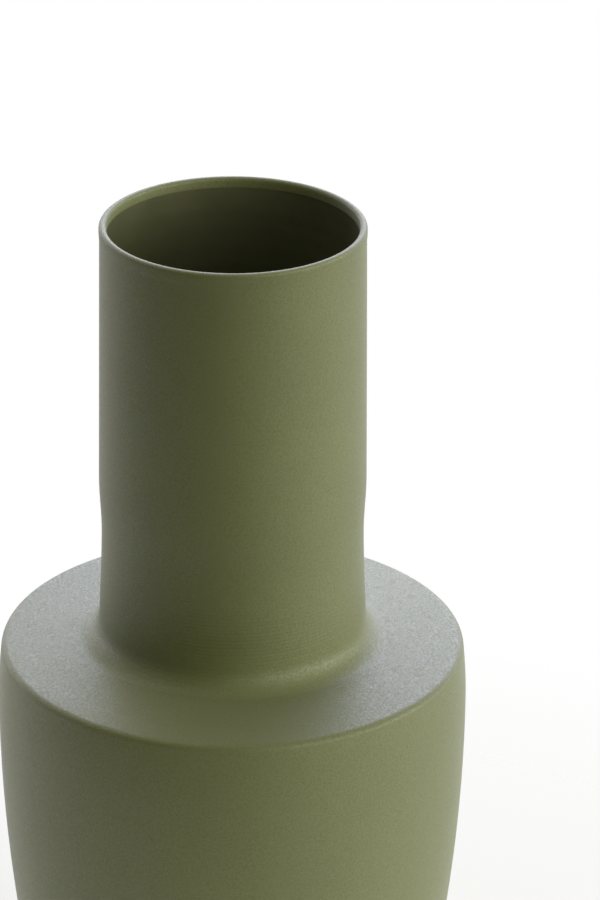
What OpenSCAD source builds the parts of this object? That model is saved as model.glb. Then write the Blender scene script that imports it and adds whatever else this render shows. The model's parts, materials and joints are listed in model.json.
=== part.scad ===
// Stoneware vase: a broad body that tapers down to a foot ring, a low sloping shoulder with a
// tight rounded edge, and a tall neck with a faint waist and a rolled lip.
// It is built the way a potter builds it: thrown sections luted together with slip, a liner
// glaze inside, and a matt coat outside that turns over the lip.
// Millimetres. +Z is the axis of turning, and the origin is the centre of the resting face.

/* [Body] */
// Height of the whole vase
total_h = 460; // [445:5:480]
// Largest radius of the body
max_r = 110; // [107:0.5:113]
// Height at which the body is widest
belly_h = 220.5; // [216:0.5:226]
// Height of the centre of the shoulder's rounded edge
edge_h = 248.5; // [246:0.5:252]
// Radius of the long curve from the foot up to the belly
flank_curve_r = 850; // [800:10:900]
// Radius of the shorter curve above the belly
brow_curve_r = 255; // [240:5:300]
// Thickness of the body wall with both skins
wall_t = 6; // [5.5:0.25:7]

/* [Shoulder] */
// Radius of the shoulder's rounded edge
edge_r = 3.5; // [2.6:0.1:4.5]
// Rise of the shoulder towards the neck, in degrees
shoulder_slope = 5; // [4:0.5:6.5]
// Radius of the fillet between shoulder and neck
fillet_r = 11; // [9:0.5:12]
// Radius of the rounding inside, under the shoulder's edge
corner_r = 8; // [6:0.5:9]

/* [Neck] */
// Outer radius of the neck just below the lip
neck_top_r = 60.3; // [59.8:0.1:60.8]
// Outer radius that the neck's straight taper would have at its root
neck_root_r = 62.6; // [62:0.1:63.5]
// Height of the narrowest point of the waist
waist_h = 308; // [302:1:312]
// How far the waist is drawn in from the straight taper
waist_dip = 1.3; // [0.4:0.1:1.5]
// Length of the waist above its narrowest point
waist_above = 29; // [26:1:36]
// Length of the waist below its narrowest point
waist_below = 58; // [50:1:64]

/* [Lip] */
// Width of the rolled lip
lip_w = 3.4; // [3:0.1:3.6]
// How far the lip stands out past the neck
lip_roll = 0.25; // [0.1:0.05:0.5]
// Height of the flare from the neck out to the lip's full width
flare_h = 4; // [3:0.5:5]
// Depth of the smooth band inside the lip
band_h = 4.8; // [4:0.2:6]

/* [Foot] */
// Height of the body's underside above the table that the vase stands on
under_h = 5; // [4:0.5:6]
// Height of the floor inside the vase
floor_h = 14; // [13.5:0.5:16]
// Radius of the rounding where the body turns under
heel_r = 8; // [7:0.5:9]
// Radius of the cove between floor and wall inside
cove_r = 12; // [9:0.5:14]
// Outer radius of the foot ring
foot_out_r = 74.5; // [72:0.5:75]
// Inner radius of the foot ring
foot_in_r = 62.5; // [60:0.5:65]
// Rounding of the foot ring's worn edges
foot_edge_r = 2; // [1:0.25:3]
// Depth of the groove that seats the foot ring
foot_groove = 1.2; // [0.8:0.1:1.4]

/* [Skins and joints] */
// Thickness of the matt outer coat
coat_t = 0.5; // [0.4:0.05:0.6]
// Thickness of the liner glaze
glaze_t = 0.3; // [0.25:0.05:0.4]
// Thickness of the luting slip in each joint
slip_t = 0.4; // [0.3:0.05:0.5]
// Depth of the step in the two wall joints
step_d = 4; // [3:0.5:5]
// Height of the joint between body and shoulder
body_joint_h = 236; // [235:0.5:238]
// Height of the joint between shoulder and neck
neck_joint_h = 274; // [272:1:280]
// Angle on the rounded heel at which the wall stands on the floor slab
heel_joint_a = -20; // [-24:1:-16]
// Angle on the rounded heel at which the coat stops
coat_stop_a = -58; // [-70:1:-45]

/* [Hidden] */
$fn = 128;

clay = [0.80, 0.73, 0.62];
wet_slip = [0.70, 0.62, 0.50];
liner = [0.24, 0.24, 0.17];
olive = [0.40, 0.42, 0.26];

// Heights and radii that follow from the driving sizes
band_z = total_h - band_h;
lip_half = lip_w / 2;
lip_c = [neck_top_r + lip_roll - lip_half, total_h - lip_half];
lip_side_h = lip_c[1] - lip_half;
band_r = lip_c[0] - lip_half;
bore_r = band_r + coat_t;
slab_bottom_h = under_h + coat_t;
floor_clay_h = floor_h - glaze_t;

// Centres of the arcs: each is tangent to its neighbours
flank_c = [max_r - flank_curve_r, belly_h];
brow_c = [max_r - brow_curve_r, belly_h];
edge_a = asin((edge_h - belly_h) / (brow_curve_r - edge_r));
edge_c = brow_c + (brow_curve_r - edge_r) * [cos(edge_a), sin(edge_a)];
top_a = 90 - shoulder_slope;

neck_root_h = edge_h + edge_r + fillet_r
            + (edge_c[0] - neck_root_r - fillet_r) * tan(shoulder_slope);
fillet_cr = neck_r(neck_root_h) + fillet_r;
fillet_c = [fillet_cr, edge_h + (edge_r + fillet_r + (edge_c[0] - fillet_cr) * sin(shoulder_slope))
                              / cos(shoulder_slope)];
fillet_end_a = 180 + atan(neck_r(fillet_c[1]) - neck_r(fillet_c[1] + 1));
root_r = fillet_c[0] - bore_r;
root_t = root_r - fillet_r;

corner_reach = brow_curve_r - wall_t - corner_r;
corner_offset = edge_r - root_t - corner_r + (edge_c[0] - brow_c[0]) * sin(shoulder_slope)
              + (edge_c[1] - brow_c[1]) * cos(shoulder_slope);
corner_a = asin(corner_offset / corner_reach) - shoulder_slope;
corner_c = brow_c + corner_reach * [cos(corner_a), sin(corner_a)];

heel_reach = flank_curve_r - heel_r;
heel_a = -asin((belly_h - under_h - heel_r) / heel_reach);
heel_c = flank_c + heel_reach * [cos(heel_a), sin(heel_a)];
cove_reach = flank_curve_r - wall_t - cove_r;
cove_a = -asin((belly_h - floor_h - cove_r) / cove_reach);
cove_c = flank_c + cove_reach * [cos(cove_a), sin(cove_a)];
cove_slip_a = 270 + asin(slip_t / (cove_r + glaze_t));

// The joint at the heel lies between two heights on the clay's own rounding
heel_joint_h = heel_c[1] + (heel_r - coat_t) * sin(heel_joint_a);
heel_slip_a = asin((heel_joint_h + slip_t - heel_c[1]) / (heel_r - coat_t));
heel_low_r = heel_c[0] + (heel_r - coat_t) * cos(heel_joint_a);

// How many steps each kind of curve is drawn in
long_n = 24;
waist_n = 16;
lip_n = 12;
bend_n = 8;
short_n = 4;
tiny = 0.0001;

// Points of an arc around c, from angle a0 to a1 in n steps
function arc(c, r, a0, a1, n) =
    [for (k = [0 : n]) c + r * [cos(a0 + (a1 - a0) * k / n), sin(a0 + (a1 - a0) * k / n)]];

function reversed(p) = [for (k = [len(p) - 1 : -1 : 0]) p[k]];

// The outline without points that repeat the one before
function tidy(p) = [for (k = [0 : len(p) - 1]) if (k == 0 || norm(p[k] - p[k - 1]) > tiny) p[k]];

// Share of the waist's dip at a height: 1 at its narrowest point, 0 at both ends
function waist_share(z) =
    let (u = (z - waist_h) / (z > waist_h ? waist_above : waist_below))
    abs(u) < 1 ? (1 + cos(180 * u)) / 2 : 0;

// Share of the lip's flare at a height: 0 below it and 1 where the lip has its full width
function flare_share(z) =
    let (u = min(1, max(0, (z - lip_side_h + flare_h) / flare_h))) (1 - cos(180 * u)) / 2;

function neck_r(z) =
    neck_root_r + (neck_top_r - neck_root_r) * (z - neck_root_h) / (band_z - neck_root_h)
    - waist_dip * waist_share(z) + lip_roll * flare_share(z);

// Stretch of the curve above the belly, of radius r, between two heights
function brow_a(z, r) = asin((z - belly_h) / r);
function brow(r, z0, z1, n) = arc(brow_c, r, brow_a(z0, r), brow_a(z1, r), n);

// Outside of the pot, i inside the finished face
function heel(i, a0, a1, n) = arc(heel_c, heel_r - i, a0, a1, n);
function flank(i) = arc(flank_c, flank_curve_r - i, heel_a, 0, long_n);
function brow_low(i) = brow(brow_curve_r - i, belly_h, body_joint_h, short_n);
function brow_high(i) =
    arc(brow_c, brow_curve_r - i, brow_a(body_joint_h + slip_t, brow_curve_r - i), edge_a, short_n);
function edge(i) = arc(edge_c, edge_r - i, edge_a, top_a, bend_n);
function fillet(i) = arc(fillet_c, fillet_r + i, 270 - shoulder_slope, fillet_end_a, bend_n);
function neck_at(z, i) = [neck_r(z) - i, z];
function neck(i, z0, z1, n) = [for (k = [0 : n]) neck_at(z0 + (z1 - z0) * k / n, i)];
function neck_low(i) = neck(i, fillet_c[1], neck_joint_h, short_n);
function neck_high(i) = concat(
    neck(i, neck_joint_h + slip_t, waist_h + waist_above, waist_n),
    neck(i, lip_side_h - flare_h, band_z - slip_t, short_n));
function lip(i) = concat(
    neck(i, band_z, lip_side_h, 1),
    arc(lip_c, lip_half - i, 0, 180, lip_n),
    [[band_r + i, band_z]]);

// Inside of the pot, g outside the finished face
function cove_foot(g) = arc(cove_c, cove_r + g, 270, cove_slip_a, 1);
function cove_wall(g) = arc(cove_c, cove_r + g, cove_slip_a, 360 + cove_a, bend_n);
function inner_flank(g) = arc(flank_c, flank_curve_r - wall_t + g, cove_a, 0, long_n);
function inner_brow_low(g) =
    brow(brow_curve_r - wall_t + g, belly_h, body_joint_h - step_d, short_n);
function inner_brow_high(g) = arc(
    brow_c, brow_curve_r - wall_t + g,
    brow_a(body_joint_h + slip_t - step_d, brow_curve_r - wall_t + g), corner_a, short_n);
function corner(g) = arc(corner_c, corner_r + g, corner_a, top_a, bend_n);
function root(g) = arc(fillet_c, root_r - g, 270 - shoulder_slope, 180, bend_n);

// Middle radius of each stepped joint, where the step is
body_joint_r = (last(brow_low(coat_t))[0] + last(inner_brow_low(glaze_t))[0]) / 2;
neck_joint_r = (neck_r(neck_joint_h) - coat_t + bore_r + glaze_t) / 2;
function last(p) = p[len(p) - 1];

// Under side and upper side of the slip in a stepped joint, from outside to inside
function step_under(z, r) = [[r + slip_t / 2, z], [r + slip_t / 2, z - step_d]];
function step_over(z, r) = [[r - slip_t / 2, z + slip_t], [r - slip_t / 2, z + slip_t - step_d]];

module turned(outline) {
    rotate_extrude(convexity = 6) polygon(tidy(outline));
}

// Bare ring that the vase stands on, set into a groove under the floor
module foot_ring() {
    color(clay) turned(concat(
        arc([foot_in_r + foot_edge_r, foot_edge_r], foot_edge_r, 180, 270, short_n),
        arc([foot_out_r - foot_edge_r, foot_edge_r], foot_edge_r, 270, 360, short_n),
        [[foot_out_r, slab_bottom_h + foot_groove], [foot_in_r, slab_bottom_h + foot_groove]]));
}

module foot_slip() {
    color(wet_slip) turned([
        [foot_in_r, slab_bottom_h + foot_groove],
        [foot_out_r, slab_bottom_h + foot_groove],
        [foot_out_r, slab_bottom_h + foot_groove + slip_t],
        [foot_in_r, slab_bottom_h + foot_groove + slip_t]]);
}

// Floor of the vase: a disc with a flange that the wall stands on
module floor_slab() {
    groove_top_h = slab_bottom_h + foot_groove + slip_t;
    color(clay) turned(concat(
        [[0, slab_bottom_h], [foot_in_r, slab_bottom_h], [foot_in_r, groove_top_h],
         [foot_out_r, groove_top_h], [foot_out_r, slab_bottom_h]],
        heel(coat_t, -90, coat_stop_a, short_n),
        heel(coat_t, coat_stop_a, heel_joint_a, short_n),
        [[cove_c[0], heel_joint_h], [cove_c[0], floor_clay_h], [0, floor_clay_h]]));
}

module floor_slip() {
    color(wet_slip) turned(concat(
        [[cove_c[0], heel_joint_h], [heel_low_r, heel_joint_h]],
        heel(coat_t, heel_slip_a, heel_slip_a, 1),
        [[cove_c[0] + slip_t, heel_joint_h + slip_t]],
        reversed(cove_foot(glaze_t))));
}

// Lower part of the body, thrown as a tall bowl without a floor
module body_wall() {
    color(clay) turned(concat(
        [[cove_c[0] + slip_t, heel_joint_h + slip_t]],
        heel(coat_t, heel_slip_a, heel_a, short_n),
        flank(coat_t),
        brow_low(coat_t),
        step_under(body_joint_h, body_joint_r),
        reversed(inner_brow_low(glaze_t)),
        reversed(inner_flank(glaze_t)),
        reversed(cove_wall(glaze_t))));
}

module body_slip() {
    color(wet_slip) turned(concat(
        [last(brow_low(coat_t)), brow_high(coat_t)[0]],
        step_over(body_joint_h, body_joint_r),
        [inner_brow_high(glaze_t)[0], last(inner_brow_low(glaze_t))],
        reversed(step_under(body_joint_h, body_joint_r))));
}

// Shoulder, with the top of the body below it and the root of the neck above it
module shoulder_section() {
    color(clay) turned(concat(
        brow_high(coat_t),
        edge(coat_t),
        fillet(coat_t),
        neck_low(coat_t),
        step_under(neck_joint_h, neck_joint_r),
        [[bore_r + glaze_t, neck_joint_h - step_d]],
        reversed(root(glaze_t)),
        reversed(corner(glaze_t)),
        reversed(inner_brow_high(glaze_t)),
        reversed(step_over(body_joint_h, body_joint_r))));
}

module neck_slip() {
    color(wet_slip) turned(concat(
        [last(neck_low(coat_t)), neck_high(coat_t)[0]],
        step_over(neck_joint_h, neck_joint_r),
        [[bore_r + glaze_t, neck_joint_h + slip_t - step_d],
         [bore_r + glaze_t, neck_joint_h - step_d]],
        reversed(step_under(neck_joint_h, neck_joint_r))));
}

// Tall neck with a straight bore and a faint waist outside
module neck_tube() {
    color(clay) turned(concat(
        neck_high(coat_t),
        [[bore_r + glaze_t, band_z - slip_t], [bore_r + glaze_t, neck_joint_h + slip_t - step_d]],
        reversed(step_over(neck_joint_h, neck_joint_r))));
}

module rim_slip() {
    color(wet_slip) turned([
        last(neck_high(coat_t)), neck_at(band_z, coat_t),
        [bore_r + glaze_t, band_z], [bore_r + glaze_t, band_z - slip_t]]);
}

// Coil that makes the rolled lip and overhangs the bore by the thickness of the glaze
module rim_collar() {
    color(clay) turned(lip(coat_t));
}

// Glaze on the floor, the wall, the underside of the shoulder and the bore, up to the lip's band
module inner_glaze() {
    function glazed(g) = concat(
        [[0, floor_h - g]], cove_foot(g), cove_wall(g), inner_flank(g), inner_brow_low(g),
        inner_brow_high(g), corner(g), root(g), [[bore_r + g, band_z]]);
    color(liner) turned(concat(glazed(glaze_t), reversed(glazed(0))));
}

// Matt coat over everything that shows outside, the lip and the band inside it
module outer_coat() {
    function coated(i) = concat(
        heel(i, coat_stop_a, heel_joint_a, short_n), heel(i, heel_slip_a, heel_a, short_n),
        flank(i), brow_low(i), brow_high(i), edge(i), fillet(i),
        neck_low(i), neck_high(i), lip(i));
    color(olive) turned(concat(coated(0), reversed(coated(coat_t))));
}

foot_ring();
foot_slip();
floor_slab();
floor_slip();
body_wall();
body_slip();
shoulder_section();
neck_slip();
neck_tube();
rim_slip();
rim_collar();
inner_glaze();
outer_coat();
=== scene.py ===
"""Tall stoneware vase in a matt olive coat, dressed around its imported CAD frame.

Metres, in the CAD part's frame: +Z is the axis of turning and the camera stands on the -Y side.
The coat, the liner glaze, the foot ring and the floor are turned again here at the CAD outlines,
finely enough to carry the marks of turning. Nothing stands out past the CAD outline: every mark
is cut inwards. The clay and the slip between them keep their CAD shapes.
"""

import json
import math

import bpy
import numpy as np
from mathutils import Euler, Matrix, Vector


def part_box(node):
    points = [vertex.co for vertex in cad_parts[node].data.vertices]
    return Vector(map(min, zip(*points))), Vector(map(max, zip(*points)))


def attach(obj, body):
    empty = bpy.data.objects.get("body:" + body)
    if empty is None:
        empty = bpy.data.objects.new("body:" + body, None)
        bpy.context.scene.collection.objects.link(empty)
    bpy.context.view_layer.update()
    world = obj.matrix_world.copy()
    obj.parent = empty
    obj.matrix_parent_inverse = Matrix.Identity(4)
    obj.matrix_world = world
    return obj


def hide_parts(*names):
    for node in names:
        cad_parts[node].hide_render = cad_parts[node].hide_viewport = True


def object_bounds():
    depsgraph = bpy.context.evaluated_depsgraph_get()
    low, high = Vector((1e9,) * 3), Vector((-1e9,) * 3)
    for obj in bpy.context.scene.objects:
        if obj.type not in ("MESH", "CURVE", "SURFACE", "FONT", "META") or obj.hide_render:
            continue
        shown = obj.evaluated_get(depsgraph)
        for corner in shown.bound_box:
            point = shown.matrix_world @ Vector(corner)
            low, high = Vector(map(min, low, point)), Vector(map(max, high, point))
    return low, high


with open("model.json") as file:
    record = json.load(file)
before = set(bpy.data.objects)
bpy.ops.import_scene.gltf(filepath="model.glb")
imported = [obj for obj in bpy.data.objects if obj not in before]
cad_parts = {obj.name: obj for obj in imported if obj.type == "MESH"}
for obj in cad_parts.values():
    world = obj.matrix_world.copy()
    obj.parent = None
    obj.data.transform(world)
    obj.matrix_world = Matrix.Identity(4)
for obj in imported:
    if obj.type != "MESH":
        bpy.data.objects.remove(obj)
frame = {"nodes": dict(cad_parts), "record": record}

MM = 0.001
TINY = 0.001 * MM            # closer than this counts as the same place
CLEAR = 0.002 * MM           # how far the turned pieces stay inside the CAD box
SKIN_GAP = 0.1 * MM          # less than any skin's thickness, so it tells a skin's two faces apart
ROOT_OFFSET = 8 * MM         # from the joint of the neck down to the middle of its root
KEY_DIGITS = 5               # outline points are told apart to 0.01 mm
FADE_ROWS = 3                # turning marks fade in over this many rows from a corner
cad_low, cad_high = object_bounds()
neck_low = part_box("neck_tube")[0]
glaze_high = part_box("inner_glaze")[1]


# ---------------------------------------------------------------- outlines

def outline(node):
    """The half-plane outline of a turned CAD node: its (radius, height) corners in order.

    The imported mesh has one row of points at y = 0, and the edges along it make the outline.
    The outline of a solid that reaches the axis starts and ends there.
    """
    mesh = frame["nodes"][node].data
    points, links = {}, {}
    for edge in mesh.edges:
        ends = [mesh.vertices[i].co for i in edge.vertices]
        if any(abs(p.y) > TINY or p.x < TINY for p in ends):
            continue
        keys = [(round(p.x, KEY_DIGITS), round(p.z, KEY_DIGITS)) for p in ends]
        if keys[0] == keys[1]:
            continue
        for key, other, p in zip(keys, keys[::-1], ends):
            points[key] = (p.x, p.z)
            links.setdefault(key, set()).add(other)
    loose = sorted(k for k in links if len(links[k]) == 1)
    here = loose[0] if loose else min(links, key=lambda k: (k[1], k[0]))
    order = [here]
    while True:
        ahead = [k for k in links[here] if k not in order]
        if not ahead:
            break
        here = min(ahead)
        order.append(here)
    found = np.array([points[k] for k in order])
    if loose:
        found = np.vstack([(0.0, found[0, 1]), found, (0.0, found[-1, 1])])
    return found


def unit(vectors):
    """The vectors at length 1."""
    return vectors / np.linalg.norm(vectors, axis=1)[:, None]


def corners(points, sharp=math.radians(30)):
    """Places along a closed outline where it turns by more than the angle sharp."""
    before = points - np.roll(points, 1, axis=0)
    after = np.roll(points, -1, axis=0) - points
    turn = np.arctan2(after[:, 1], after[:, 0]) - np.arctan2(before[:, 1], before[:, 0])
    turn = (turn + math.pi) % (2 * math.pi) - math.pi
    return [i for i in range(len(points)) if abs(turn[i]) > sharp]


def stretches(points):
    """The smooth stretches between the corners of a closed outline, each a list of points."""
    found = corners(points)
    ring = np.vstack([points, points])
    ends = found[1:] + [found[0] + len(points)]
    return [ring[a:b + 1] for a, b in zip(found, ends)]


def smooth(points, spacing):
    """A smooth curve through the points, sampled about every spacing metres."""
    steps = np.diff(points, axis=0)
    length = np.linalg.norm(steps, axis=1)
    way = steps / length[:, None]
    middle = unit(points[2:] - points[:-2])
    if len(points) > 2:
        first, last = 2 * way[:1] - middle[:1], 2 * way[-1:] - middle[-1:]
    else:
        first, last = way[:1], way[-1:]
    tangent = unit(np.vstack([first, middle, last]))
    out = []
    for i, span in enumerate(length):
        count = max(1, math.ceil(span / spacing))
        t = np.arange(count)[:, None] / count
        start_way, end_way = tangent[i] * span, tangent[i + 1] * span
        out.append((2 * t**3 - 3 * t**2 + 1) * points[i] + (t**3 - 2 * t**2 + t) * start_way
                   + (3 * t**2 - 2 * t**3) * points[i + 1] + (t**3 - t**2) * end_way)
    out.append(points[-1:])
    return np.vstack(out)


# ---------------------------------------------------------------- turned pieces

def clockwise(profile):
    """True if the closed outline runs clockwise in the (radius, height) half-plane."""
    x, y = profile[:, 0], profile[:, 1]
    return np.sum(x * np.roll(y, -1) - y * np.roll(x, -1)) < 0


def turned(name, node, spacing, segments, depth, hidden_spacing=8 * MM, shown=None):
    """A solid turned about Z on the outline of a CAD node, which it stands for.

    depth(theta, radius, height) is how far in the finished face lies from the outline, in metres.
    shown(stretch) says which smooth stretches are drawn finely and carry the marks.
    """
    points = outline(node)
    if clockwise(points):
        points = points[::-1]
    rows, inward, marked = [], [], []
    for stretch in stretches(points):
        fine = shown is None or shown(stretch)
        curve = smooth(stretch, spacing if fine else hidden_spacing)
        step = unit(np.gradient(curve, axis=0))
        rows.append(curve[:-1])
        inward.append(np.stack([-step[:-1, 1], step[:-1, 0]], 1))
        along = np.minimum(np.arange(len(curve) - 1), np.arange(len(curve) - 1, 0, -1))
        marked.append(np.minimum(along / FADE_ROWS, 1.0) * fine)
    rows, inward, marked = np.vstack(rows), np.vstack(inward), np.concatenate(marked)

    theta = np.arange(segments) * (2 * math.pi / segments)
    ring = np.arange(segments)
    after = np.roll(ring, -1)
    verts, faces, starts = [], [], []
    for (radius, height), (in_r, in_z), share in zip(rows, inward, marked):
        starts.append(len(verts))
        if radius < TINY:
            verts.append((0.0, 0.0, height))
            continue
        cut = share * depth(theta, radius, height)
        r = np.minimum(radius + in_r * cut, cad_high.x - CLEAR)
        z = np.clip(height + in_z * cut, cad_low.z, cad_high.z - CLEAR)
        verts += np.stack([r * np.cos(theta), r * np.sin(theta), z], 1).tolist()
    sizes = np.diff(starts + [len(verts)])
    for k in range(len(rows)):
        after_k = (k + 1) % len(rows)
        a, b = starts[k], starts[after_k]
        if sizes[k] == 1 and sizes[after_k] == 1:
            continue
        if sizes[k] == 1:
            faces += np.stack([np.full(segments, a), b + after, b + ring], 1).tolist()
        elif sizes[after_k] == 1:
            faces += np.stack([a + ring, a + after, np.full(segments, b)], 1).tolist()
        else:
            faces += np.stack([a + ring, a + after, b + after, b + ring], 1).tolist()

    mesh = bpy.data.meshes.new(name)
    mesh.from_pydata(verts, [], faces)
    mesh.validate()
    mesh.shade_smooth()
    mesh.set_sharp_from_angle(angle=math.radians(40))
    piece = bpy.data.objects.new(name, mesh)
    bpy.context.scene.collection.objects.link(piece)
    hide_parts(node)
    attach(piece, "root")
    return piece


def wave(theta, height, parts):
    """A slow unevenness from 0 to 1: a sum of waves (turns, rise, phase) round and up the pot."""
    total = sum(np.sin(turns * theta + height / rise + phase) for turns, rise, phase in parts)
    return 0.5 + 0.5 * total / len(parts)


def bell(height, middle, reach):
    """1 at a height, falling off smoothly to nothing at reach metres above and below it."""
    u = np.clip(abs(height - middle) / reach, 0, 1)
    return 0.5 + 0.5 * np.cos(math.pi * u)


def turning_rings(theta, way, pitch):
    """The spiral left by a rib or finger on the wheel, from 0 on its ridge to 1 in its groove."""
    return 0.5 + 0.5 * np.cos(2 * math.pi * way / pitch - theta)


def coat_marks(theta, radius, height):
    """Almost smooth: a breath of unevenness, and rings that show low on the neck."""
    uneven = 0.06 * MM * wave(theta, height, [(2, 0.041, 0.3), (3, 0.027, 2.1), (5, 0.053, 4.0)])
    ringed = 0.006 * MM + 0.024 * MM * bell(height, neck_low.z - ROOT_OFFSET, 40 * MM)
    return uneven + ringed * turning_rings(theta, height + 0.4 * radius, 3.6 * MM)


def glaze_marks(theta, radius, height):
    """Finger rings from throwing, softened by the glaze that pooled in them."""
    rings = 0.08 * MM * turning_rings(theta, height + radius, 9 * MM)
    return rings + 0.05 * MM * wave(theta, height, [(1, 0.060, 1.0), (4, 0.033, 5.0)])


def foot_marks(theta, radius, height):
    """Close marks of the trimming tool and a little wear."""
    rings = 0.05 * MM * turning_rings(theta, height + radius, 1.9 * MM)
    return rings + 0.06 * MM * wave(theta, height, [(3, 0.02, 0.0), (7, 0.03, 2.0), (11, 0.01, 4.0)])


def slab_marks(theta, radius, height):
    """A trimming spiral under the floor, chattered where the tool skipped."""
    rings = 0.16 * MM * turning_rings(theta, radius, 3.4 * MM)
    chatter = 0.02 * MM * (0.5 + 0.5 * np.sin(56 * theta + radius / (1.5 * MM)))
    return rings + chatter


def outside(stretch):
    """True for the coat's outer face, which reaches further out than its inner one."""
    return stretch[:, 0].max() > cad_high.x - SKIN_GAP


def inside(stretch):
    """True for the liner's finished face, which stays further in than the face on the clay.

    The liner's ends stay further in too, but they have only a few points.
    """
    few = 8
    return len(stretch) > few and stretch[:, 0].max() < glaze_high.x - SKIN_GAP


skin = turned("matt_coat", "outer_coat", 1.1 * MM, 288, coat_marks, shown=outside)
liner = turned("liner", "inner_glaze", 1.5 * MM, 224, glaze_marks, shown=inside)
foot = turned("foot", "foot_ring", 0.6 * MM, 256, foot_marks)
slab = turned("floor", "floor_slab", 1.0 * MM, 224, slab_marks)
slots = ((skin, "matt_olive_coat"), (liner, "liner_glaze"), (foot, "bare_clay"), (slab, "bare_clay"))


# ---------------------------------------------------------------- node graphs

class Graph:
    """Adds shader nodes to an empty tree. A value given to an input may be another node's output."""

    def __init__(self, tree):
        self.tree = tree
        tree.nodes.clear()

    def add(self, kind, inputs=None, **settings):
        """A new shader node of a kind, with its inputs and settings filled in."""
        node = self.tree.nodes.new("ShaderNode" + kind)
        for name, value in settings.items():
            setattr(node, name, value)
        for name, value in (inputs or {}).items():
            socket = node.inputs[name]
            if isinstance(value, bpy.types.NodeSocket):
                self.tree.links.new(value, socket)
            else:
                socket.default_value = value
        return node

    def math(self, operation, *values):
        """The number that a Math node makes of the values."""
        return self.add("Math", dict(enumerate(values)), operation=operation).outputs[0]

    def vector(self, operation, *values):
        """A Vector Math node, whose output depends on the operation."""
        return self.add("VectorMath", dict(enumerate(values)), operation=operation)

    def place(self):
        """The point's place on the object, in metres."""
        return self.add("TexCoord").outputs["Object"]

    def noise(self, place, size, detail, rough=0.5):
        """Noise from 0 to 1 whose features are about size metres across."""
        inputs = {"Vector": place, "Scale": 1 / size, "Detail": detail, "Roughness": rough}
        return self.add("TexNoise", inputs, normalize=True).outputs["Fac"]

    def spots(self, place, size):
        """Distance from the nearest of many scattered points, in units of their spacing."""
        return self.add("TexVoronoi", {"Vector": place, "Scale": 1 / size}).outputs["Distance"]

    def spread(self, value, low, high, to_low, to_high):
        """value mapped from low..high to to_low..to_high, and held at the ends."""
        inputs = {"Value": value, "From Min": low, "From Max": high, "To Min": to_low, "To Max": to_high}
        return self.add("MapRange", inputs, clamp=True).outputs["Result"]

    def vary(self, noise, to_low=0, to_high=1):
        """Noise stretched over to_low..to_high, from its usual spread about the middle."""
        return self.spread(noise, 0.3, 0.7, to_low, to_high)

    def blend(self, share, first, second):
        """The colour between two at a share from 0 to 1."""
        node = self.add("Mix", data_type="RGBA")
        for socket, value in ((node.inputs[0], share), (node.inputs[6], first), (node.inputs[7], second)):
            if isinstance(value, bpy.types.NodeSocket):
                self.tree.links.new(value, socket)
            else:
                socket.default_value = value
        return node.outputs[2]

    def bump(self, height, distance, below=None):
        """A bump of a real height in metres, laid over another bump if one is given."""
        inputs = {"Height": height, "Distance": distance, "Strength": 1.0}
        if below is not None:
            inputs["Normal"] = below
        return self.add("Bump", inputs).outputs["Normal"]


def material(name):
    """A new material with a Principled shader, and the graph to build the rest of it in."""
    made = bpy.data.materials.new(name)
    made.use_nodes = True
    graph = Graph(made.node_tree)
    shader = graph.add("BsdfPrincipled")
    output = graph.add("OutputMaterial")
    graph.tree.links.new(shader.outputs[0], output.inputs["Surface"])
    return made, graph, shader


def wire(graph, shader, color, rough, normal):
    """Links what varies over a material to its shader."""
    graph.tree.links.new(color, shader.inputs["Base Color"])
    graph.tree.links.new(rough, shader.inputs["Roughness"])
    graph.tree.links.new(normal, shader.inputs["Normal"])


# ---------------------------------------------------------------- materials

DULL_BUFF = (0.46, 0.36, 0.25, 1)
BUFF = (0.60, 0.50, 0.37, 1)
PALE_SAND = (0.70, 0.62, 0.50, 1)
IRON = (0.10, 0.06, 0.035, 1)
SLIP_DARK = (0.36, 0.28, 0.19, 1)
SLIP_LIGHT = (0.47, 0.38, 0.27, 1)
LINER_DEEP = (0.090, 0.095, 0.046, 1)
LINER_THIN = (0.112, 0.117, 0.058, 1)
OLIVE = (0.109, 0.127, 0.014, 1)
OLIVE_DEEP = (0.103, 0.120, 0.012, 1)
OLIVE_PALE = (0.115, 0.134, 0.016, 1)


def comb_lines(graph, place):
    """Fine level lines, strongest just above the joint of the neck."""
    middle = neck_low.z + 8 * MM
    reach, pitch = 36 * MM, 1.8 * MM
    height = graph.add("SeparateXYZ", {0: place}).outputs["Z"]
    away = graph.math("ABSOLUTE", graph.math("SUBTRACT", height, middle))
    lines = graph.math("SINE", graph.math("MULTIPLY", height, 2 * math.pi / pitch))
    return graph.math("MULTIPLY", lines, graph.spread(away, 0, reach, 1, 0))


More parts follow.
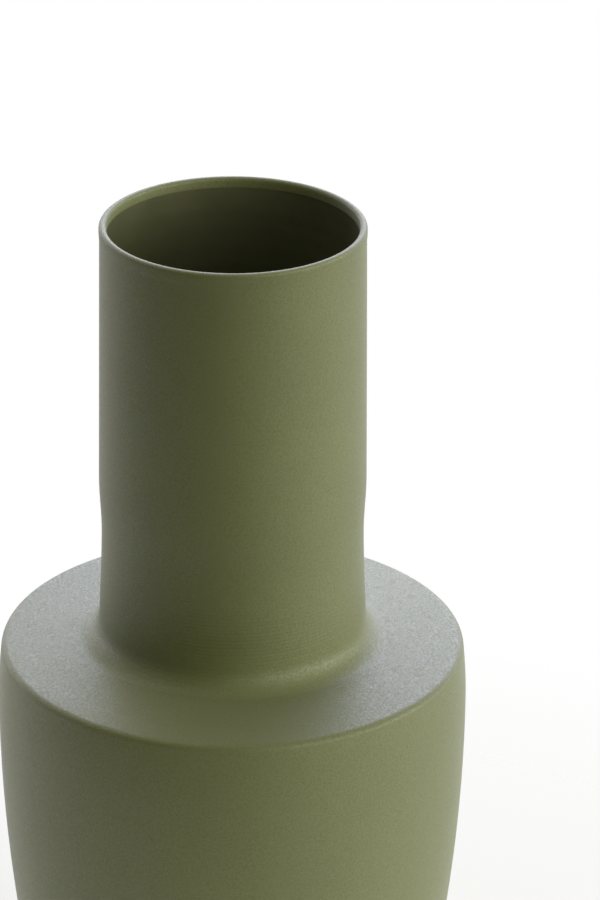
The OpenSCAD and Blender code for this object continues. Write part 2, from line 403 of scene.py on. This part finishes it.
def matt_olive():
    """Matt coat: fine sandy grain, a soft sheen at grazing angles, and comb lines low on the neck."""
    made, graph, shader = material("matt_olive_coat")
    place = graph.place()
    clouds = graph.noise(place, 38 * MM, 3)
    mottle = graph.noise(place, 7 * MM, 3)
    grain = graph.noise(place, 0.85 * MM, 1, 0.5)
    sand = graph.noise(place, 1.8 * MM, 2, 0.6)
    color = graph.blend(graph.vary(clouds), OLIVE_DEEP, OLIVE_PALE)
    color = graph.blend(graph.vary(mottle, 0, 0.5), color, OLIVE)
    speck = graph.vary(grain, 0.98, 1.02)
    specked = graph.vector("SCALE", color)
    graph.tree.links.new(speck, specked.inputs["Scale"])
    rough = graph.vary(grain, 0.57, 0.90)
    combed = graph.bump(comb_lines(graph, place), 0.016 * MM)
    normal = graph.bump(grain, 0.045 * MM, graph.bump(sand, 0.03 * MM, combed))
    wire(graph, shader, specked.outputs[0], rough, normal)
    shader.inputs["IOR"].default_value = 2.05
    shader.inputs["Coat Weight"].default_value = 0.22
    shader.inputs["Coat Roughness"].default_value = 0.38
    shader.inputs["Sheen Weight"].default_value = 0.15
    shader.inputs["Sheen Roughness"].default_value = 0.5
    graph.tree.links.new(normal, shader.inputs["Coat Normal"])
    return made


def satin_liner():
    """Liner glaze: satin, darker where it pooled, with a faint orange peel."""
    made, graph, shader = material("liner_glaze")
    place = graph.place()
    clouds = graph.noise(place, 30 * MM, 4)
    peel = graph.noise(place, 2.2 * MM, 2)
    grain = graph.noise(place, 0.9 * MM, 2, 0.6)
    color = graph.blend(graph.vary(clouds), LINER_DEEP, LINER_THIN)
    rough = graph.vary(clouds, 0.42, 0.50)
    normal = graph.bump(grain, 0.05 * MM, graph.bump(peel, 0.05 * MM))
    wire(graph, shader, color, rough, normal)
    shader.inputs["IOR"].default_value = 1.5
    return made


def bare_clay():
    """Unglazed stoneware: buff, sandy, with iron specks and grog that stands proud."""
    made, graph, shader = material("bare_clay")
    place = graph.place()
    clouds = graph.noise(place, 24 * MM, 4)
    sand = graph.noise(place, 0.7 * MM, 3, 0.65)
    grog = graph.spots(place, 2.6 * MM)
    iron = graph.spread(graph.spots(place, 5.5 * MM), 0.05, 0.11, 1, 0)
    color = graph.blend(graph.vary(clouds), DULL_BUFF, BUFF)
    color = graph.blend(graph.spread(sand, 0.35, 0.65, 0, 0.3), color, PALE_SAND)
    color = graph.blend(iron, color, IRON)
    rough = graph.vary(sand, 0.78, 0.92)
    normal = graph.bump(graph.spread(grog, 0.0, 0.35, 1, 0), 0.05 * MM, graph.bump(sand, 0.09 * MM))
    wire(graph, shader, color, rough, normal)
    shader.inputs["IOR"].default_value = 1.45
    return made


def luting_slip():
    """Fired joining slip: finer and darker than the clay, brushed on."""
    made, graph, shader = material("luting_slip")
    place = graph.place()
    clouds = graph.noise(place, 12 * MM, 3)
    brushed = graph.noise(graph.vector("MULTIPLY", place, (1, 1, 6)).outputs[0], 3 * MM, 2)
    color = graph.blend(graph.vary(clouds), SLIP_DARK, SLIP_LIGHT)
    rough = graph.vary(brushed, 0.70, 0.85)
    wire(graph, shader, color, rough, graph.bump(brushed, 0.04 * MM))
    return made


finishes = {"matt_olive_coat": matt_olive(), "liner_glaze": satin_liner(),
            "bare_clay": bare_clay(), "luting_slip": luting_slip()}
for row in frame["record"]["subparts"]:
    node = frame["nodes"][row["node"]]
    node.data.materials.clear()
    node.data.materials.append(finishes[row["material_slot"]])
for piece, slot in slots:
    piece.data.materials.append(finishes[slot])


# ---------------------------------------------------------------- studio

# Softboxes: compass angle from the camera's side towards +X, height angle, how narrow, how bright, tint.
# The vase is lit from the right, from low behind and from above, and the floor lights its front.
# The rows aren't hand-made. All but "high left" are the rounded results of a least-squares fit to the
# photo's shades. Some strengths and tints were changed afterwards.
SOFTBOXES = [
    ("front right", 51, 0, 9.7, 5.6, (1.04, 1, 0.85)),
    ("key right", 91, -5, 22.7, 15.8, (0.98, 1, 0.90)),
    ("low back right", 145, -5, 12.6, 3.0, (1.00, 1, 1.55)),
    ("back", 172, 32, 16.8, 6.4, (0.98, 1, 1.36)),
    ("low back left", 200, -5, 13.9, 3.7, (1.00, 1, 1.22)),
    ("low left", 232, -5, 20.2, 5.6, (1.03, 1, 1.10)),
    ("high left", 262, 35, 8.0, 0.3, (1.03, 1, 0.95)),
    ("overhead", 210, 71, 7.4, 1.5, (1.03, 1, 0.85)),
]
# A lamp straight below, for the underside. The floor keeps it off everything but the foot's underside.
UNDER_LIGHT = 2.5
FLOOR_DULL = (0.81, 0.81, 0.73, 1)
FLOOR_PALE = (0.82, 0.82, 0.74, 1)


def direction(compass, rise):
    """Unit vector towards a softbox: compass 0 is the camera's side, 90 is +X, 180 is behind."""
    a, e = math.radians(compass), math.radians(rise)
    return (math.cos(e) * math.sin(a), -math.cos(e) * math.cos(a), math.sin(e))


def studio():
    """The softboxes in a dark room, and the lamp below. The camera itself sees plain white."""
    world = bpy.data.worlds.new("studio")
    bpy.context.scene.world = world
    world.use_nodes = True
    graph = Graph(world.node_tree)
    ray = graph.add("TexCoord").outputs["Generated"]
    total = None
    for _, compass, rise, narrow, bright, tint in SOFTBOXES:
        facing = graph.vector("DOT_PRODUCT", ray, direction(compass, rise)).outputs["Value"]
        glow = graph.math("EXPONENT", graph.math("MULTIPLY", graph.math("SUBTRACT", facing, 1.0), narrow))
        colored = graph.vector("SCALE", tint)
        graph.tree.links.new(graph.math("MULTIPLY", glow, bright), colored.inputs["Scale"])
        light = colored.outputs[0]
        total = light if total is None else graph.vector("ADD", total, light).outputs[0]
    upward = graph.add("SeparateXYZ", {0: ray}).outputs["Z"]
    above = graph.spread(upward, -0.01, 0.01, 0, 1)
    below = graph.spread(upward, -0.98, -0.87, UNDER_LIGHT, 0)
    boxes = graph.add("Background", {"Color": total, "Strength": above})
    under = graph.add("Background", {"Color": (1, 1, 1, 1), "Strength": below})
    lit = graph.add("AddShader", {0: boxes.outputs[0], 1: under.outputs[0]})
    white = graph.add("Background", {"Color": (1, 1, 1, 1), "Strength": 1.0})
    seen = graph.add("LightPath").outputs["Is Camera Ray"]
    both = graph.add("MixShader", {0: seen, 1: lit.outputs[0], 2: white.outputs[0]})
    output = graph.add("OutputWorld")
    graph.tree.links.new(both.outputs[0], output.inputs["Surface"])


def floor_disc():
    """A disc that ends half a metre in front of the vase, so that less of it lights the vase's front.

    It is open under the foot, up to the outer edge of the resting face.
    """
    reach, behind, rings, segments = 1.85, 1.35, 12, 96
    resting = 0.05 * MM
    opening = max(r for r, z in outline("foot_ring") if z < resting)
    theta = np.arange(segments) * (2 * math.pi / segments)
    verts = []
    for k in range(rings + 1):
        r = opening + (reach - opening) * k / rings
        middle = behind * k / rings
        verts += [(r * math.cos(t), middle + r * math.sin(t), 0.0) for t in theta]
    faces = []
    for a in range(0, rings * segments, segments):
        b = a + segments
        for i in range(segments):
            after = (i + 1) % segments
            faces.append((a + i, b + i, b + after, a + after))
    mesh = bpy.data.meshes.new("stage_floor")
    mesh.from_pydata(verts, [], faces)
    return mesh


def pale_floor():
    """Pale and matt. The camera sees it fade into the white of the room, and sees through it from below."""
    near, gone = 0.06, 0.50
    made = bpy.data.materials.new("pale_floor")
    made.use_nodes = True
    graph = Graph(made.node_tree)
    place = graph.place()
    fine = graph.noise(place, 250 * MM, 1)
    far = graph.vector("LENGTH", place).outputs["Value"]
    shade = graph.blend(graph.vary(fine), FLOOR_DULL, FLOOR_PALE)
    matt = graph.add("BsdfDiffuse", {"Color": shade})
    clear = graph.add("BsdfTransparent")
    seen = graph.add("LightPath").outputs["Is Camera Ray"]
    fade = graph.math("MULTIPLY", seen, graph.spread(far, near, gone, 0, 1))
    under = graph.add("NewGeometry").outputs["Backfacing"]
    hidden = graph.math("MAXIMUM", fade, under)
    both = graph.add("MixShader", {0: hidden, 1: matt.outputs[0], 2: clear.outputs[0]})
    output = graph.add("OutputMaterial")
    graph.tree.links.new(both.outputs[0], output.inputs["Surface"])
    return made


studio()
plane = bpy.data.objects.new("stage_floor", floor_disc())
plane.location.z = -0.05 * MM
plane.data.materials.append(pale_floor())
bpy.context.scene.collection.objects.link(plane)
bpy.context.scene.view_settings.view_transform = "Standard"


# ---------------------------------------------------------------- camera

# From a fit of a pitched camera to the outlines of the lip, neck, shoulder and flank.
LENS = 176.0
SENSOR = 36.0
CAMERA_BACK = 1.8385
CAMERA_HEIGHT = 1.1942
PITCH, YAW, ROLL = 24.71, 0.962, 0.48
camera_data = bpy.data.cameras.new("camera")
camera_data.lens = LENS
camera_data.sensor_width = SENSOR
camera = bpy.data.objects.new("camera", camera_data)
bpy.context.scene.collection.objects.link(camera)
camera.location = (0, -CAMERA_BACK, CAMERA_HEIGHT)
aim = Euler((math.radians(90 - PITCH), 0, -math.radians(YAW)), "XYZ").to_matrix()
roll = Euler((0, 0, math.radians(ROLL)), "XYZ").to_matrix()
camera.rotation_euler = (aim @ roll).to_euler()
bpy.context.scene.camera = camera
